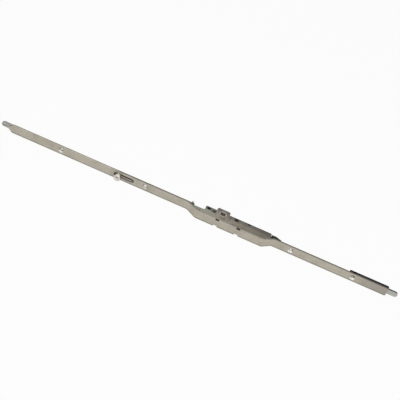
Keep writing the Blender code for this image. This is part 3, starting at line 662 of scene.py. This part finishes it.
@dataclass(frozen=True)
class TurnedSteel:
    """Bright plated bar, turned on a lathe: fine rings of the tool and faint spots."""

    colour: Colour
    spot: Colour
    roughness: float
    metallic: float = 0.9
    spot_scale: float = 260.0
    ring_scale: Point = (120.0, 9000.0, 120.0)
    relief: float = 0.000008

    def material(self, name: str) -> bpy.types.Material:
        """Build the finish.

        Args:
            name: name of the material.

        Returns:
            A material with fine rings across the piece's depth and faint spots.
        """
        g = Graph(bpy.data.materials.new(name))
        rings = g.noise(g.stretched(self.ring_scale), 1.0, 2.0, 0.5)
        spots = g.noise(g.place, self.spot_scale, 4.0, 0.6).between(0.42, 0.7)
        return g.finish(base_color=g.blend(spots * 0.7, self.colour, self.spot),
                        roughness=self.roughness + spots * 0.12 - rings * 0.05, metallic=self.metallic,
                        normal=g.relief(rings, self.relief))


@dataclass(frozen=True)
class CastMetal:
    """Zinc die casting: fine grain, cloudy flow marks and dark pits, darker towards its rear, with painted
    shade on its back edges, right end, holes and notches.
    """

    colour: Colour
    shade: Colour
    roughness: float
    metallic: float = 0.6
    grain_scale: float = 2600.0
    cloud_scale: float = 95.0
    pit_scale: float = 900.0
    relief: float = 0.00006
    pit_share: float = 0.5
    pit: Colour = (0.03, 0.027, 0.025)
    # colour of the painted shade in the hole, the notches and the seam
    dark: Colour = (0.017, 0.011, 0.007)
    hole: tuple[float, float] = (41.0 * MM, 19.3 * MM)
    hole_half: float = 2.0 * MM
    hole_fade: Span = (-0.1 * MM, 0.05 * MM)
    square: bool = False
    seam: Span = (2.75 * MM, 3.05 * MM)
    tone_share: float = 0.0
    rear_dark: Colour = (0.055, 0.052, 0.051)
    rear: Span = (11.0 * MM, 16.0 * MM)
    rear_share: float = 0.55
    rear_edge: Span = (19.0 * MM, 21.0 * MM)
    edge_share: float = 0.35
    block_side: Span = (9.8 * MM, 10.2 * MM)
    block_back: float = 7.5 * MM
    rightward: Span = (-10.0 * MM, 76.0 * MM)
    # colour of the painted shade at the right end
    dull: Colour = (0.185, 0.165, 0.135)
    leftward: Span = (-28.0 * MM, 4.0 * MM)
    oxide: Colour = (0.335, 0.335, 0.27)

    def material(self, name: str) -> bpy.types.Material:
        """Build the finish.

        Args:
            name: name of the material.

        Returns:
            A material with grain in its relief, clouds and pits in its colour, and painted shade in its hole,
            notches and seam.
        """
        g = Graph(bpy.data.materials.new(name))
        grain = g.noise(g.place, self.grain_scale, 3.0, 0.6)
        clouds = g.noise(g.place, self.cloud_scale, 6.0, 0.65).between(0.36, 0.7)
        cells = g.node("ShaderNodeTexVoronoi", {"feature": "F1"},
                       {"Vector": g.place, "Scale": self.pit_scale}, output="Distance")
        pits = 1.0 - cells.between(0.05, 0.22)
        cloudy = g.blend(clouds, self.colour, self.shade)
        speckled = g.blend(pits * self.pit_share, cloudy, self.pit)
        bore = self.shaded_places(g)
        rough = self.roughness + clouds * 0.12 + grain * 0.08
        # Painted shade in the hole, the notches and the seam
        dressed = g.blend(bore * 0.95, self.toned(g, speckled, clouds), self.dark)
        return g.finish(base_color=dressed, roughness=rough, metallic=self.metallic - bore * self.metallic,
                        normal=g.relief(grain - pits * 0.5, self.relief))

    def toned(self, g: Graph, colour: Value, clouds: Value) -> Value:
        """Darken towards the rear, paint shade along the back edges and towards the right end, and tint the
        left end greener.

        Args:
            g: the finish's node tree.
            colour: colour of the casting.
            clouds: 1 where the flow marks are dark.

        Returns:
            The changed colour.
        """
        x, y = g.place.part("X"), g.place.part("Y")
        block = 1.0 - x.size().between(*self.block_side)
        depth = y - block * self.block_back
        # Darker towards the rear, with painted shade in a band along the back edges
        back = depth.between(*self.rear) * self.rear_share + depth.between(*self.rear_edge) * self.edge_share
        # Painted shade towards the right end
        shaded_right = g.blend(x.between(*self.rightward) * self.tone_share, colour, self.dull)
        greener = g.blend((1.0 - x.between(*self.leftward)) * self.tone_share, shaded_right, self.oxide)
        return g.blend(back * (0.8 + clouds * 0.2) * self.tone_share, greener, self.rear_dark)

    def shaded_places(self, g: Graph) -> Value:
        """Find where shade is painted: the hole, the lugs in the faceplate's notches and the seam behind the
        faceplate.

        Args:
            g: the finish's node tree.

        Returns:
            1 in these places and 0 elsewhere.
        """
        x, y = g.place.part("X") - self.hole[0], g.place.part("Y") - self.hole[1]
        reach = x.size().largest(y.size()) if self.square else (x * x + y * y).root()
        hole = 1.0 - (reach - self.hole_half).between(*self.hole_fade)
        return hole.largest(1.0 - g.place.part("Y").between(*self.seam))


@dataclass(frozen=True)
class MouldedPlastic:
    """Black nylon: spark-eroded grain with pale rubbed places."""

    colour: Colour
    rubbed: Colour
    roughness: float
    specular: float = 0.15
    grain_scale: float = 3400.0
    rub_scale: Point = (70.0, 420.0, 420.0)
    relief: float = 0.00003

    def material(self, name: str) -> bpy.types.Material:
        """Build the finish.

        Args:
            name: name of the material.

        Returns:
            A dark material with fine grain and rubbed places.
        """
        g = Graph(bpy.data.materials.new(name))
        grain = g.noise(g.place, self.grain_scale, 2.0, 0.5)
        rubs = g.noise(g.stretched(self.rub_scale), 1.0, 4.0, 0.7).between(0.56, 0.78)
        return g.finish(base_color=g.blend(rubs * 0.5, self.colour, self.rubbed), metallic=0.0,
                        roughness=self.roughness + rubs * 0.12 - grain * 0.08,
                        specular_ior_level=self.specular, normal=g.relief(grain, self.relief))


FINISHES = {
    Look.STRIP: (Slot.ZINC, PlatedSteel((0.465, 0.430, 0.360), (0.365, 0.335, 0.272), (0.085, 0.075, 0.062),
                                        0.40, left_share=0.45, case_share=0.5)),
    Look.STUD: (Slot.ZINC, PlatedSteel((0.465, 0.430, 0.360), (0.365, 0.335, 0.272), (0.20, 0.18, 0.15),
                                       0.40, shear_share=0.3)),
    Look.ROD: (Slot.ROD, ShadowedSteel((0.44, 0.45, 0.405), (0.30, 0.30, 0.255), (0.020, 0.018, 0.016), 0.44,
                                      stain_scale=80.0, tear_share=0.05, cut_metal=0.2, left_share=0.3)),
    Look.SLIDER: (Slot.ROD, ShadowedSteel((0.37, 0.375, 0.32), (0.27, 0.27, 0.225), (0.17, 0.17, 0.14), 0.46,
                                         stain_scale=110.0, shear_share=0.45, slotted=False,
                                         covered=(60.0 * MM, 70.0 * MM))),
    Look.SHELL: (Slot.CAST, CastMetal((0.365, 0.327, 0.266), (0.225, 0.197, 0.161), 0.52, tone_share=1.0)),
    Look.RUBBED: (Slot.CAST, CastMetal((0.38, 0.34, 0.28), (0.23, 0.20, 0.165), 0.46, 0.7, tone_share=1.0)),
    # The hub's square socket takes painted shade
    Look.HUB: (Slot.CAST, CastMetal((0.50, 0.45, 0.40), (0.33, 0.295, 0.255), 0.42, 0.7, pit_share=0.3,
                                    hole=(0.0, SPINDLE_Y), hole_half=3.6 * MM, square=True)),
    # The threaded bores are painted nearly black as shade
    Look.BORE: (Slot.CAST, CastMetal((0.035, 0.031, 0.028), (0.018, 0.016, 0.015), 0.6, 0.3, pit_share=0.2)),
    Look.TURNED: (Slot.BRIGHT, TurnedSteel((0.70, 0.67, 0.62), (0.50, 0.46, 0.41), 0.27)),
    Look.NYLON: (Slot.PLASTIC, MouldedPlastic((0.0035, 0.0033, 0.003), (0.016, 0.015, 0.014), 0.62)),
    Look.NYLON_DUSTY: (Slot.PLASTIC, MouldedPlastic((0.030, 0.024, 0.020), (0.140, 0.118, 0.100), 0.62)),
    Look.NYLON_EDGE: (Slot.PLASTIC, MouldedPlastic((0.007, 0.0065, 0.006), (0.03, 0.028, 0.026), 0.55)),
}


class Workshop:
    """Makes the finishes once and enrols every piece with its body and node."""

    def __init__(self) -> None:
        """Build the materials and note which body each node belongs to."""
        self.materials = {look: finish.material(look.value) for look, (_, finish) in FINISHES.items()}
        bodies = frame["record"]["behaviour"]["bodies"]
        self.body_of = {node: body for body, nodes in bodies.items() for node in nodes}

    def enrol(self, piece: bpy.types.Object, node: str, look: Look, second: Look | None = None,
              hides: bool = True) -> None:
        """Dress a piece and let it ride where its node rides.

        Args:
            piece: the finished piece.
            node: solid that it stands for or sits on.
            look: its finish.
            second: finish of the faces that take the second material, or nothing for the same.
            hides: whether the piece takes the solid's place.
        """
        piece.data.materials.append(self.materials[look])
        piece.data.materials.append(self.materials[second or look])
        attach(piece, self.body_of[node])
        if hides:
            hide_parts(node)

    def rounded(self, node: str, name: str, width: float, look: Look, edge: Look | None = None,
                covered_depth: float = 0.0) -> None:
        """Replace a solid by a copy with merged flat faces and rounded edges.

        A crease is rounded unless it lies within the covered depth or one of its ends touches a
        crease too short to hold its roundings.

        Args:
            node: the solid to copy.
            name: name of the piece.
            width: how far the rounding reaches from an edge.
            look: its finish.
            edge: finish of the roundings, or nothing for the same.
            covered_depth: y up to which another piece hides the edges, which stay sharp there.
        """
        shell = bmesh.new()
        shell.from_mesh(frame["nodes"][node].data)
        bmesh.ops.remove_doubles(shell, verts=shell.verts, dist=MERGE)
        bmesh.ops.dissolve_limit(shell, angle_limit=math.radians(FLAT), verts=shell.verts, edges=shell.edges)
        weight = shell.edges.layers.float.new("bevel_weight_edge")
        sharp = [rim for rim in shell.edges if rim.calc_face_angle(0.0) > math.radians(CREASE)]
        tight = {end for rim in sharp if rim.calc_length() < TIGHT * width for end in rim.verts}
        for rim in sharp:
            seen = max(end.co.y for end in rim.verts) > covered_depth
            rim[weight] = float(seen and not tight.intersection(rim.verts))
        mesh = bpy.data.meshes.new(name)
        shell.to_mesh(mesh)
        shell.free()
        smooth(mesh)
        piece = added(name, mesh)
        bevel = piece.modifiers.new("rounding", "BEVEL")
        bevel.width = width
        bevel.segments = 2
        bevel.limit_method = "WEIGHT"
        bevel.use_clamp_overlap = False
        bevel.loop_slide = False
        bevel.material = 1
        level = piece.modifiers.new("flat faces", "WEIGHTED_NORMAL")
        level.keep_sharp = True
        self.enrol(piece, node, look, edge)


@dataclass
class Faceplate:
    """Cranked strip with its countersunk holes and cam slot."""

    rounding: float = 0.15 * MM

    def build(self, shop: Workshop) -> None:
        """Round and dress the strip."""
        shop.rounded("faceplate", "faceplate_strip", self.rounding, Look.STRIP)


@dataclass
class DriveRods:
    """Rods, rack slider and the studs that guide the rods."""

    rounding: float = 0.15 * MM
    stud_places: tuple[float, ...] = (-308.0 * MM, -215.0 * MM, -54.5 * MM, 140.0 * MM)
    shank: float = 1.9 * MM
    sink: float = 0.6 * MM
    swell: float = 0.28 * MM
    taper: float = 0.2 * MM
    # Shares of the sunk end's radius, each with its depth
    dish: tuple[tuple[float, float], ...] = ((0.3, 0.05 * MM), (0.7, 0.03 * MM), (1.0, 0.02 * MM))
    head: float = 2.8 * MM
    head_rise: float = 0.9 * MM
    flank: float = 0.4
    seat: float = 6.1 * MM
    columns: int = 48

    def build(self, shop: Workshop) -> None:
        """Round and dress the rods and the slider, and turn the studs.

        Args:
            shop: the workshop, which enrols the pieces.
        """
        for node in ("rod_left", "rod_right"):
            shop.rounded(node, f"{node}_flat", self.rounding, Look.ROD)
        shop.rounded("rack_slider", "rack_slider_cut", self.rounding, Look.SLIDER)
        for number, x in enumerate(self.stud_places, 1):
            grid = placed(turned(self.stud_profile(), self.columns), Axis.INTO_SASH, (x, CRANK, 0.0))
            shop.enrol(surface(f"rod_stud_{number}_turned", grid), f"rod_stud_{number}", Look.STUD)

    def stud_profile(self) -> np.ndarray:
        """Profile of a stud from its sunk and slightly dished front end to its domed head.

        Returns:
            Radii and depths behind the faceplate's front, with eased corners.
        """
        face = self.shank + self.sink + self.swell
        front = np.array(self.dish) * (face, 1.0)
        shank = [(self.shank + self.swell, self.sink), (self.shank, self.sink + self.taper),
                 (self.shank, self.seat), (self.head, self.seat)]
        crown = dome(self.head, self.seat, self.head_rise, self.flank, 5)
        return eased(np.vstack([front, shank, crown]), FINE)


@dataclass
class GearCase:
    """Die-cast half shells, the rivets that close them and the threaded bushes."""

    rounding: float = 0.15 * MM
    covered_depth: float = PLATE_THICKNESS + 1.0 * MM
    lip_reach: float = 5.6 * MM
    lip_overlap: float = 0.4 * MM
    lip_gap: float = 0.35 * MM
    lip_outer: float = 10.9 * MM
    lip_inner: float = 12.1 * MM
    lip_corner: float = 0.7 * MM
    lip_low: float = 4.5 * MM
    lip_high: float = CASE_HALF - 0.05 * MM
    lip_break: float = 0.2 * MM
    rivet_places: tuple[tuple[float, float], ...] = ((-15.159 * MM, 19.7 * MM), (29.5 * MM, 19.7 * MM),
                                                     (64.0 * MM, 8.7 * MM), (70.0 * MM, 19.5 * MM))
    rivet_radius: float = 1.0 * MM
    rivet_head: float = 1.4 * MM
    rivet_foot: float = 0.05 * MM
    rivet_rise: float = 0.16 * MM
    rivet_columns: int = 32
    bush_places: tuple[float, float] = (-21.5 * MM, 21.5 * MM)
    bush_radius: float = 3.0 * MM
    bush_end: float = 5.9 * MM
    bush_edge: float = 0.2 * MM
    thread_minor: float = 2.25 * MM
    thread_depth: float = 0.35 * MM
    thread_pitch: float = 0.8 * MM
    thread_rows: int = 121
    flare_length: float = 0.6 * MM
    flare_rise: float = 0.2 * MM
    columns: int = 48

    def build(self, shop: Workshop) -> None:
        """Round the shells, add their lips, head the rivets and cut the threads.

        Args:
            shop: the workshop, which enrols the pieces.
        """
        for side, node, sign in (("upper", "case_cover", 1.0), ("lower", "case_base", -1.0)):
            shop.enrol(surface(f"case_lip_{side}", self.lip(sign)), node, Look.SHELL, hides=False)
        for node in ("case_base", "case_cover"):
            shop.rounded(node, f"{node}_cast", self.rounding, Look.SHELL, Look.RUBBED, self.covered_depth)
        for number, (x, y) in enumerate(self.rivet_places, 1):
            grid = placed(turned(self.rivet_profile(), self.rivet_columns), Axis.SPINDLE, (x, y, 0.0))
            shop.enrol(surface(f"case_rivet_{number}_headed", grid), f"case_rivet_{number}", Look.SHELL)
        for side, x in zip(("left", "right"), self.bush_places):
            grid = placed(self.threaded_bush(), Axis.SPINDLE, (x, SPINDLE_Y, 0.0))
            bush = surface(f"screw_bush_{side}_threaded", grid, wrap_rows=True, inner_rows=self.thread_rows)
            shop.enrol(bush, f"screw_bush_{side}", Look.SHELL, Look.BORE)

    def lip(self, sign: float) -> np.ndarray:
        """Thin lip at the case's left end, which keeps the slider's arm in line.

        Its outline is a quadrangle with eased corners. The rows scale it about its middle by 0.96,
        1, 1 and 0.96 on the way from its inner face to its outer one, which breaks its edges.

        Args:
            sign: 1 for the lip of the cover and -1 for the lip of the base.

        Returns:
            A grid of four rows.
        """
        front = PLATE_THICKNESS + self.lip_gap
        right, left = CASE_LEFT + self.lip_overlap, CASE_LEFT - self.lip_reach
        corners = np.array([(right, front), (right, self.lip_inner), (left, self.lip_outer), (left, front)])
        outline = eased(corners, self.lip_corner, closed=True)
        middle = outline.mean(0)
        flat = middle + (outline - middle) * np.array([0.96, 1.0, 1.0, 0.96])[:, None, None]
        heights = np.array([self.lip_low, self.lip_low + self.lip_break,
                            self.lip_high - self.lip_break, self.lip_high])
        return np.concatenate([flat, sign * heights[:, None, None] * np.ones_like(flat[..., :1])], -1)

    def rivet_profile(self) -> np.ndarray:
        """Profile of a rivet with a low domed head on each shell.

        Returns:
            Radii and heights from the lower head to the upper one.
        """
        head = dome(self.rivet_head, CASE_HALF + self.rivet_foot, self.rivet_rise, 0.0, 5)
        upper = np.vstack([(self.rivet_radius, CASE_HALF), (self.rivet_head, CASE_HALF), head])
        return np.vstack([upper[::-1] * (1.0, -1.0), upper])

    def threaded_bush(self) -> np.ndarray:
        """Section of the bush carried round its axis, with a screw thread in the bore.

        At height h and angle t the bore's radius is minor + depth times a triangle wave of
        h / pitch - t / tau, and the thread fades out in the flare at each end.

        Returns:
            A grid that wraps both ways.
        """
        angle = full_turn(self.columns)
        height = np.linspace(-self.bush_end, self.bush_end, self.thread_rows)[:, None]
        wave = np.abs(2.0 * np.mod(height / self.thread_pitch - angle / TAU, 1.0) - 1.0)
        flare = np.clip(1.0 - (self.bush_end - np.abs(height)) / self.flare_length, 0.0, 1.0)
        radius = self.thread_minor + self.thread_depth * np.maximum(wave, flare) + self.flare_rise * flare
        outer, inner, end = self.bush_radius, self.bush_radius - self.bush_edge, self.bush_end
        wall = np.array([(inner, end), (outer, end - self.bush_edge),
                         (outer, self.bush_edge - end), (inner, -end)])
        return np.vstack([round_axis(radius, angle, height), turned(wall, self.columns)])


@dataclass
class HubGear:
    """Toothed hub with the square socket for the handle's spindle."""

    rounding: float = 0.18 * MM

    def build(self, shop: Workshop) -> None:
        """Round and dress the hub."""
        shop.rounded("hub_gear", "hub_gear_cast", self.rounding, Look.HUB)


@dataclass
class LockingCam:
    """Eccentric mushroom cam with its hex socket, rivet head and friction washer."""

    x: float = -160.6 * MM
    neck: float = 3.0 * MM
    shank: float = 2.2 * MM
    head: float = 5.3 * MM
    crown: float = 3.2 * MM
    height: float = 6.8 * MM
    head_thickness: float = 3.4 * MM
    eccentricity: float = 0.8 * MM
    rim: float = 0.5 * MM
    # Heights of the flare from the head to the neck
    collar: tuple[float, float, float] = (-0.8 * MM, -0.3 * MM, -0.1 * MM)
    socket: float = 4.0 * MM
    socket_depth: float = 2.6 * MM
    chamfer: float = 0.3 * MM
    fillet: float = 0.1 * MM
    drill_point: float = 0.35 * MM
    rear: float = 6.9 * MM
    rivet: float = 3.2 * MM
    rivet_rise: float = 0.9 * MM
    flank: float = 0.35
    washer_y: float = 16.8 * MM
    washer_bore: float = 2.5 * MM
    washer_width: float = 1.4 * MM
    washer_thickness: float = 0.5 * MM
    columns: int = 72

    def build(self, shop: Workshop) -> None:
        """Turn the cam and its washer.

        Args:
            shop: the workshop, which enrols the pieces.
        """
        cam = surface("cam_bolt_turned", placed(self.cam_grid(), Axis.INTO_SASH, (self.x, CRANK, 0.0)))
        shop.enrol(cam, "cam_bolt", Look.TURNED)
        bore, rim, thick = self.washer_bore, self.washer_bore + self.washer_width, self.washer_thickness
        section = np.array([(bore, 0.0), (rim, 0.0), (rim, thick), (bore, thick)])
        ring = turned(eased(section, FINE, closed=True), self.columns)
        washer = placed(ring, Axis.INTO_SASH, (self.x, self.washer_y, 0.0))
        shop.enrol(surface("cam_washer_pressed", washer, wrap_rows=True), "cam_washer", Look.TURNED)

    def cam_grid(self) -> np.ndarray:
        """Rings from the socket's floor over the head, down the neck and shank to the rivet head.

        Each ring is a circle or a hexagon: r(t) is a constant, or half the size across flats over
        cos(t - flat). The head's rings lean by the eccentricity, and all others are on the axis.

        Returns:
            A grid of rings.
        """
        angle = full_turn(self.columns)
        hexagon = polygon_radius(angle, 6, self.socket)
        top, under = -self.height, self.head_thickness - self.height
        floor = top + self.socket_depth
        inner = [(hexagon * 0.3, floor + self.drill_point), (hexagon * 0.97, floor),
                 (hexagon, floor - self.fillet), (hexagon, top + self.chamfer), (hexagon + self.chamfer, top)]
        behind, below, start = self.collar
        outer = eased(np.array([(self.crown, top), (self.head, top), (self.head, under),
                                (self.neck + self.rim, behind), (self.neck + self.rim / 2, below)]), self.rim)
        stem = np.vstack([(self.neck, start), (self.neck, PLATE_THICKNESS), (self.shank, PLATE_THICKNESS),
                          (self.shank, self.rear), (self.rivet, self.rear),
                          dome(self.rivet, self.rear, self.rivet_rise, self.flank, 6)])
        circles = np.vstack([outer, stem])
        radii = np.vstack([r for r, _ in inner] + [circles[:, :1] * np.ones_like(angle)])
        heights = np.concatenate([[h for _, h in inner], circles[:, 1]])[:, None]
        lean = np.zeros_like(heights)
        lean[len(inner):len(inner) + len(outer)] = self.eccentricity
        return round_axis(radii, angle, heights, lean)


@dataclass
class PlasticGuides:
    """Black guides behind the faceplate."""

    rounding: float = 0.25 * MM

    def build(self, shop: Workshop) -> None:
        """Round and dress the guides."""
        shop.rounded("exit_guide", "exit_guide_moulded", self.rounding, Look.NYLON_DUSTY, Look.NYLON_EDGE)
        shop.rounded("end_guide", "end_guide_moulded", self.rounding, Look.NYLON, Look.NYLON_EDGE)


@dataclass
class Studio:
    """Pale floor, soft lamps and the camera at the photograph's angle."""

    azimuth: float = 0.454
    elevation: float = 38.0
    roll: float = 23.34
    distance: float = 1.346
    lens: float = 85.0
    nearest: float = 0.01
    target: Point = (-0.0385, 0.010, 0.0189)
    floor_half: float = 6.0
    floor_colour: Colour = (0.90, 0.90, 0.895)
    floor_roughness: float = 0.9
    floor_specular: float = 0.1
    floor_glow: float = 0.93
    key_place: Point = (-0.5, -1.1, 1.4)
    key_size: float = 1.2
    key_power: float = 9.0
    fill_place: Point = (0.9, -0.9, 0.8)
    fill_size: float = 1.0
    fill_power: float = 4.0
    world_light: float = 0.45

    def build(self) -> None:
        """Set the floor, lamps, world and camera."""
        self.lay_floor()
        self.hang_lamp("key", self.key_place, self.key_size, self.key_power)
        self.hang_lamp("fill", self.fill_place, self.fill_size, self.fill_power)
        self.light_world()
        self.set_camera()
        bpy.context.scene.view_settings.view_transform = "Standard"

    def lay_floor(self) -> None:
        """Floor under the bar's long edge. The camera sees it glow a little, so that it stays pale."""
        half = self.floor_half
        corners = [(x, y, FLOOR_Z) for x, y in ((-half, -half), (half, -half), (half, half), (-half, half))]
        mesh = bpy.data.meshes.new("floor")
        mesh.from_pydata(corners, [], [(0, 1, 2, 3)])
        floor = added("floor", mesh)
        g = Graph(bpy.data.materials.new("pale_floor"))
        g.finish(base_color=(*self.floor_colour, 1.0), roughness=self.floor_roughness,
                 specular_ior_level=self.floor_specular)
        seen = g.seen() * self.floor_glow
        glow = g.node("ShaderNodeEmission", {}, {"Color": WHITE, "Strength": 1.0})
        mixed = g.node("ShaderNodeMixShader", {}, {0: seen, 1: Value(g, g.shader.outputs[0]), 2: glow})
        g.feed(g.tree.nodes["Material Output"].inputs["Surface"], mixed)
        mesh.materials.append(g.owner)

    def hang_lamp(self, name: str, place: Point, size: float, power: float) -> None:
        """Hang a soft square lamp that faces the object.

        Args:
            name: name of the lamp.
            place: where it hangs.
            size: length of a side.
            power: its power in watts.
        """
        lamp = added(name, bpy.data.lights.new(name, "AREA"))
        lamp.data.shape = "SQUARE"
        lamp.data.size = size
        lamp.data.energy = power
        lamp.location = place
        lamp.rotation_euler = (Vector(self.target) - Vector(place)).to_track_quat("-Z", "Y").to_euler()

    def light_world(self) -> None:
        """White surroundings, seen in full by the camera, in metal and in glass, and weaker as light."""
        world = bpy.data.worlds.new("surroundings")
        bpy.context.scene.world = world
        g = Graph(world, "Background")
        strength = g.node("ShaderNodeMapRange", {}, {"Value": g.seen(), "To Min": self.world_light})
        g.finish(color=WHITE, strength=strength)

    def set_camera(self) -> None:
        """Camera that looks at the target from the azimuth and elevation, rolled to tilt the bar."""
        azimuth, elevation, roll = np.radians([self.azimuth, self.elevation, self.roll])
        back = Vector((math.sin(azimuth) * math.cos(elevation), -math.cos(azimuth) * math.cos(elevation),
                       math.sin(elevation)))
        level = Vector((math.cos(azimuth), math.sin(azimuth), 0.0))
        upright = back.cross(level)
        right = math.cos(roll) * level + math.sin(roll) * upright
        up = back.cross(right)
        camera = added("camera", bpy.data.cameras.new("camera"))
        camera.data.lens = self.lens
        camera.data.clip_start = self.nearest
        place = Vector(self.target) + back * self.distance
        camera.matrix_world = Matrix.Translation(place) @ Matrix((right, up, back)).transposed().to_4x4()
        bpy.context.scene.camera = camera


def main() -> None:
    """Build the sub-assemblies in order, then the studio."""
    logging.basicConfig(level=logging.INFO, format="%(name)s: %(message)s")
    shop = Workshop()
    for assembly in (Faceplate(), DriveRods(), GearCase(), HubGear(), LockingCam(), PlasticGuides()):
        assembly.build(shop)
    Studio().build()


if __name__ == "__main__":
    main()
